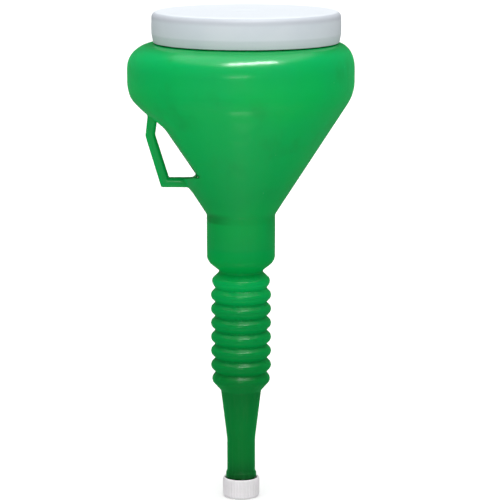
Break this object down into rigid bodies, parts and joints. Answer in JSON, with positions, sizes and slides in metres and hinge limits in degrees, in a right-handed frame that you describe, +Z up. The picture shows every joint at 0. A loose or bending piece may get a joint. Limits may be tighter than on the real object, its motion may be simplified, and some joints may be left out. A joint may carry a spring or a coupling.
{
  "type": "fluid filling funnel",
  "caption": "Funnel for fuels and fluids with a deep bowl, side handle, screw lid, drop-in strainer, and a bellows spout with a tapered tip and screw cap.",
  "frame": {"origin": "middle of the spout cap's end face, on the spout's axis", "axes": "+Z up along the spout's axis from the tip to the mouth; the handle lies on the -X side in the XZ plane"},
  "size_m": [0.1684, 0.1684, 0.3686],
  "materials": {
    "green_polyethylene": "glossy, waxy, slightly translucent",
    "white_lid_plastic": "satin",
    "white_cap_plastic": "satin, ribbed",
    "seal_foam": "matt foam",
    "strainer_plastic": "satin",
    "steel_gauze": "woven wire"
  },
  "bodies": {
    "bowl": {"bowl": "green_polyethylene", "handle": "green_polyethylene"},
    "strainer": {"strainer_ring": "strainer_plastic", "strainer_gauze": "steel_gauze"},
    "lid_carrier": {"lid_seal": "seal_foam"},
    "lid": {"lid": "white_lid_plastic"},
    "ring_1": {"bellows_fold_1": "green_polyethylene", "bellows_ring_1": "green_polyethylene"},
    "ring_2": {"bellows_fold_2": "green_polyethylene", "bellows_ring_2": "green_polyethylene"},
    "ring_3": {"bellows_fold_3": "green_polyethylene", "bellows_ring_3": "green_polyethylene"},
    "ring_4": {"bellows_fold_4": "green_polyethylene", "bellows_ring_4": "green_polyethylene"},
    "ring_5": {"bellows_fold_5": "green_polyethylene", "bellows_ring_5": "green_polyethylene"},
    "ring_6": {"bellows_fold_6": "green_polyethylene", "bellows_ring_6": "green_polyethylene"},
    "ring_7": {"bellows_fold_7": "green_polyethylene", "bellows_ring_7": "green_polyethylene"},
    "tip": {"bellows_fold_8": "green_polyethylene", "bellows_ring_8": "green_polyethylene", "spout_tip": "green_polyethylene"},
    "cap_carrier": {"cap_seal": "seal_foam"},
    "cap": {"spout_cap": "white_cap_plastic"}
  },
  "joints": [
    {"name": "bend_1", "type": "hinge", "parent": "bowl", "child": "ring_1", "pos_m": [0, 0, 0.1734], "axis": [0, 1, 0], "range_deg": [-10, 10], "stiffness_Nm_per_rad": 1.5, "deforming": ["bellows_fold_1"]},
    {"name": "bend_2", "type": "hinge", "parent": "ring_1", "child": "ring_2", "pos_m": [0, 0, 0.16074], "axis": [1, 0, 0], "range_deg": [-10, 10], "stiffness_Nm_per_rad": 1.5, "deforming": ["bellows_fold_2"]},
    {"name": "bend_3", "type": "hinge", "parent": "ring_2", "child": "ring_3", "pos_m": [0, 0, 0.15002], "axis": [0, 1, 0], "range_deg": [-10, 10], "stiffness_Nm_per_rad": 1.5, "deforming": ["bellows_fold_3"]},
    {"name": "bend_4", "type": "hinge", "parent": "ring_3", "child": "ring_4", "pos_m": [0, 0, 0.1393], "axis": [1, 0, 0], "range_deg": [-10, 10], "stiffness_Nm_per_rad": 1.5, "deforming": ["bellows_fold_4"]},
    {"name": "bend_5", "type": "hinge", "parent": "ring_4", "child": "ring_5", "pos_m": [0, 0, 0.12858], "axis": [0, 1, 0], "range_deg": [-10, 10], "stiffness_Nm_per_rad": 1.5, "deforming": ["bellows_fold_5"]},
    {"name": "bend_6", "type": "hinge", "parent": "ring_5", "child": "ring_6", "pos_m": [0, 0, 0.11786], "axis": [1, 0, 0], "range_deg": [-10, 10], "stiffness_Nm_per_rad": 1.5, "deforming": ["bellows_fold_6"]},
    {"name": "bend_7", "type": "hinge", "parent": "ring_6", "child": "ring_7", "pos_m": [0, 0, 0.10714], "axis": [0, 1, 0], "range_deg": [-10, 10], "stiffness_Nm_per_rad": 1.5, "deforming": ["bellows_fold_7"]},
    {"name": "bend_8", "type": "hinge", "parent": "ring_7", "child": "tip", "pos_m": [0, 0, 0.09642], "axis": [1, 0, 0], "range_deg": [-10, 10], "stiffness_Nm_per_rad": 1.5, "deforming": ["bellows_fold_8"]},
    {"name": "lid_rise", "type": "slide", "parent": "bowl", "child": "lid_carrier", "axis": [0, 0, 1], "range_m": [0, 0.07201]},
    {"name": "lid_turn", "type": "hinge", "parent": "lid_carrier", "child": "lid", "pos_m": [0.004, 0, 0.357], "axis": [0, 0, 1], "range_deg": [0, 4320]},
    {"name": "cap_drop", "type": "slide", "parent": "tip", "child": "cap_carrier", "axis": [0, 0, -1], "range_m": [0, 0.03001]},
    {"name": "cap_turn", "type": "hinge", "parent": "cap_carrier", "child": "cap", "pos_m": [0, 0, 0.008], "axis": [0, 0, -1], "range_deg": [0, 3600]},
    {"name": "strainer_lift", "type": "slide", "parent": "bowl", "child": "strainer", "axis": [0, 0, 1], "range_m": [0, 0.08]}
  ],
  "couplings": [
    {"joint": "bend_3", "follows": "bend_1", "ratio": 1},
    {"joint": "bend_4", "follows": "bend_2", "ratio": 1},
    {"joint": "bend_5", "follows": "bend_1", "ratio": 1},
    {"joint": "bend_6", "follows": "bend_2", "ratio": 1},
    {"joint": "bend_7", "follows": "bend_1", "ratio": 1},
    {"joint": "bend_8", "follows": "bend_2", "ratio": 1},
    {"joint": "lid_rise", "follows": "lid_turn", "m_per_rad": 0.00095493},
    {"joint": "cap_drop", "follows": "cap_turn", "m_per_rad": 0.00047746}
  ]
}
